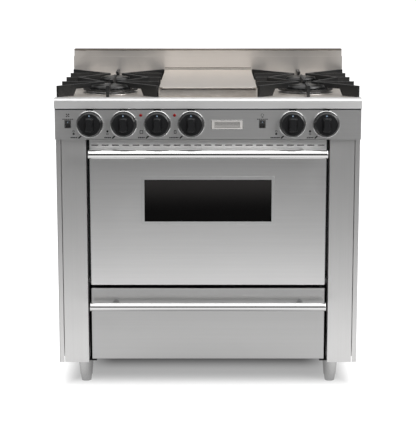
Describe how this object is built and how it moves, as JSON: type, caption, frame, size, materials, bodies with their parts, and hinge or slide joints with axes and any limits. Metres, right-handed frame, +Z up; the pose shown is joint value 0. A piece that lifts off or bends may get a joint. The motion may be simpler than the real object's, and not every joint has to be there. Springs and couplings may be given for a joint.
{
  "type": "commercial gas range",
  "caption": "Freestanding commercial gas range with open burners under cast grates, a covered griddle, a drop-down oven door, a storage drawer and a low backguard.",
  "frame": {"origin": "on the floor, under the middle of the range's box with the feet screwed in and the handles counted", "axes": "+X to the right seen from the front, +Y to the back, +Z up; the doors and knobs face -Y"},
  "size_m": [0.9144, 0.7506, 0.991],
  "materials": {
    "body_steel": "brushed",
    "rail_steel": "brushed",
    "panel_steel": "brushed",
    "deck_steel": "brushed",
    "guard_steel": "brushed",
    "door_steel": "brushed",
    "drawer_steel": "brushed",
    "handle_steel": "satin",
    "post_steel": "satin",
    "zinc_sheet": "galvanised",
    "frame_black": "satin black",
    "leg_steel": "satin",
    "foot_steel": "satin",
    "bezel_chrome": "polished",
    "trim_chrome": "polished",
    "rack_chrome": "polished",
    "light_red": "clear red",
    "knob_black": "gloss black",
    "rocker_black": "gloss black",
    "stem_steel": "turned",
    "grate_iron": "matt enamel",
    "bowl_steel": "polished",
    "head_aluminium": "cast",
    "cap_enamel": "gloss enamel",
    "griddle_steel": "ground",
    "cover_steel": "brushed",
    "tube_steel": "mill",
    "oven_enamel": "speckled enamel",
    "door_enamel": "speckled enamel",
    "window_dark": "tinted",
    "seal_grey": "woven",
    "wool_yellow": "mineral wool",
    "motor_grey": "satin",
    "fan_steel": "mill",
    "lamp_glass": "clear",
    "pipe_aluminium": "drawn",
    "valve_brass": "machined",
    "regulator_cast": "cast",
    "gland_black": "matt"
  },
  "bodies": {
    "range_body": {"side_panels": "body_steel", "front_pillars": "body_steel", "back_panel": "zinc_sheet", "base_frame": "frame_black", "leg_sleeves": "leg_steel", "cooktop_deck": "deck_steel", "front_rail": "rail_steel", "control_panel": "panel_steel", "knob_bezels": "bezel_chrome", "indicator_lights": "light_red", "gas_manifold": "pipe_aluminium", "pressure_regulator": "regulator_cast", "gas_valves": "valve_brass", "cord_gland": "gland_black", "burner_heads": "head_aluminium", "burner_caps": "cap_enamel", "burner_bowls": "bowl_steel", "griddle_plate": "griddle_steel", "tube_burners": "tube_steel", "oven_liner": "oven_enamel", "oven_insulation": "wool_yellow", "door_gasket": "seal_grey", "oven_racks": "rack_chrome", "fan_motor": "motor_grey", "backguard": "guard_steel", "drawer_rails": "zinc_sheet", "hinge_receivers": "frame_black", "oven_lamp": "lamp_glass"},
    "oven_door": {"door_skin": "door_steel", "door_liner": "door_enamel", "window_trim": "trim_chrome", "window_glass": "window_dark", "door_handle": "handle_steel", "door_handle_posts": "post_steel", "hinge_arms": "frame_black"},
    "drawer": {"drawer_front": "drawer_steel", "drawer_box": "zinc_sheet", "drawer_handle": "handle_steel", "drawer_handle_posts": "post_steel", "drawer_runners": "zinc_sheet"},
    "valve_stem_1": {"stem_1": "stem_steel"},
    "burner_knob_1": {"knob_1": "knob_black"},
    "valve_stem_2": {"stem_2": "stem_steel"},
    "burner_knob_2": {"knob_2": "knob_black"},
    "valve_stem_3": {"stem_3": "stem_steel"},
    "burner_knob_3": {"knob_3": "knob_black"},
    "valve_stem_4": {"stem_4": "stem_steel"},
    "burner_knob_4": {"knob_4": "knob_black"},
    "oven_knob": {"knob_5": "knob_black"},
    "griddle_knob": {"knob_6": "knob_black"},
    "fan_switch": {"rocker_fan": "rocker_black"},
    "light_switch": {"rocker_light": "rocker_black"},
    "grate_left_body": {"grate_left": "grate_iron"},
    "grate_right_body": {"grate_right": "grate_iron"},
    "griddle_lid": {"griddle_cover": "cover_steel"},
    "screw_foot_front_left": {"foot_front_left": "foot_steel"},
    "screw_foot_front_right": {"foot_front_right": "foot_steel"},
    "screw_foot_rear_left": {"foot_rear_left": "foot_steel"},
    "screw_foot_rear_right": {"foot_rear_right": "foot_steel"},
    "convection_fan": {"fan_wheel": "fan_steel"}
  },
  "joints": [
    {"name": "door_hinge", "type": "hinge", "parent": "range_body", "child": "oven_door", "pos_m": [0, -0.29465, 0.331], "axis": [1, 0, 0], "range_deg": [0, 90]},
    {"name": "drawer_slide", "type": "slide", "parent": "range_body", "child": "drawer", "axis": [0, -1, 0], "range_m": [0, 0.28]},
    {"name": "burner_front_left_turn", "type": "hinge", "parent": "range_body", "child": "valve_stem_1", "pos_m": [-0.35175, -0.32965, 0.816], "axis": [0, -1, 0], "range_deg": [0, 270]},
    {"name": "burner_front_left_push", "type": "slide", "parent": "valve_stem_1", "child": "burner_knob_1", "axis": [0, 1, 0], "range_m": [0, 0.003], "stiffness_N_per_m": 800},
    {"name": "burner_rear_left_turn", "type": "hinge", "parent": "range_body", "child": "valve_stem_2", "pos_m": [-0.25125, -0.32965, 0.816], "axis": [0, -1, 0], "range_deg": [0, 270]},
    {"name": "burner_rear_left_push", "type": "slide", "parent": "valve_stem_2", "child": "burner_knob_2", "axis": [0, 1, 0], "range_m": [0, 0.003], "stiffness_N_per_m": 800},
    {"name": "burner_front_right_turn", "type": "hinge", "parent": "range_body", "child": "valve_stem_3", "pos_m": [-0.15075, -0.32965, 0.816], "axis": [0, -1, 0], "range_deg": [0, 270]},
    {"name": "burner_front_right_push", "type": "slide", "parent": "valve_stem_3", "child": "burner_knob_3", "axis": [0, 1, 0], "range_m": [0, 0.003], "stiffness_N_per_m": 800},
    {"name": "burner_rear_right_turn", "type": "hinge", "parent": "range_body", "child": "valve_stem_4", "pos_m": [-0.05025, -0.32965, 0.816], "axis": [0, -1, 0], "range_deg": [0, 270]},
    {"name": "burner_rear_right_push", "type": "slide", "parent": "valve_stem_4", "child": "burner_knob_4", "axis": [0, 1, 0], "range_m": [0, 0.003], "stiffness_N_per_m": 800},
    {"name": "oven_turn", "type": "hinge", "parent": "range_body", "child": "oven_knob", "pos_m": [0.25125, -0.32965, 0.816], "axis": [0, -1, 0], "range_deg": [0, 270]},
    {"name": "griddle_turn", "type": "hinge", "parent": "range_body", "child": "griddle_knob", "pos_m": [0.35175, -0.32965, 0.816], "axis": [0, -1, 0], "range_deg": [0, 270]},
    {"name": "fan_switch_rock", "type": "hinge", "parent": "range_body", "child": "fan_switch", "pos_m": [-0.417, -0.32415, 0.816], "axis": [1, 0, 0], "range_deg": [0, 20]},
    {"name": "light_switch_rock", "type": "hinge", "parent": "range_body", "child": "light_switch", "pos_m": [0.1616, -0.32415, 0.816], "axis": [1, 0, 0], "range_deg": [0, 20]},
    {"name": "grate_left_lift", "type": "slide", "parent": "range_body", "child": "grate_left_body", "axis": [0, 0, 1], "range_m": [0, 0.15]},
    {"name": "grate_right_lift", "type": "slide", "parent": "range_body", "child": "grate_right_body", "axis": [0, 0, 1], "range_m": [0, 0.15]},
    {"name": "griddle_lid_lift", "type": "slide", "parent": "range_body", "child": "griddle_lid", "axis": [0, 0, 1], "range_m": [0, 0.15]},
    {"name": "foot_front_left_screw", "type": "slide", "parent": "range_body", "child": "screw_foot_front_left", "axis": [0, 0, -1], "range_m": [0, 0.025]},
    {"name": "foot_front_right_screw", "type": "slide", "parent": "range_body", "child": "screw_foot_front_right", "axis": [0, 0, -1], "range_m": [0, 0.025]},
    {"name": "foot_rear_left_screw", "type": "slide", "parent": "range_body", "child": "screw_foot_rear_left", "axis": [0, 0, -1], "range_m": [0, 0.025]},
    {"name": "foot_rear_right_screw", "type": "slide", "parent": "range_body", "child": "screw_foot_rear_right", "axis": [0, 0, -1], "range_m": [0, 0.025]},
    {"name": "fan_spin", "type": "hinge", "parent": "range_body", "child": "convection_fan", "pos_m": [0, 0.22735, 0.555], "axis": [0, 1, 0], "continuous": true}
  ]
}
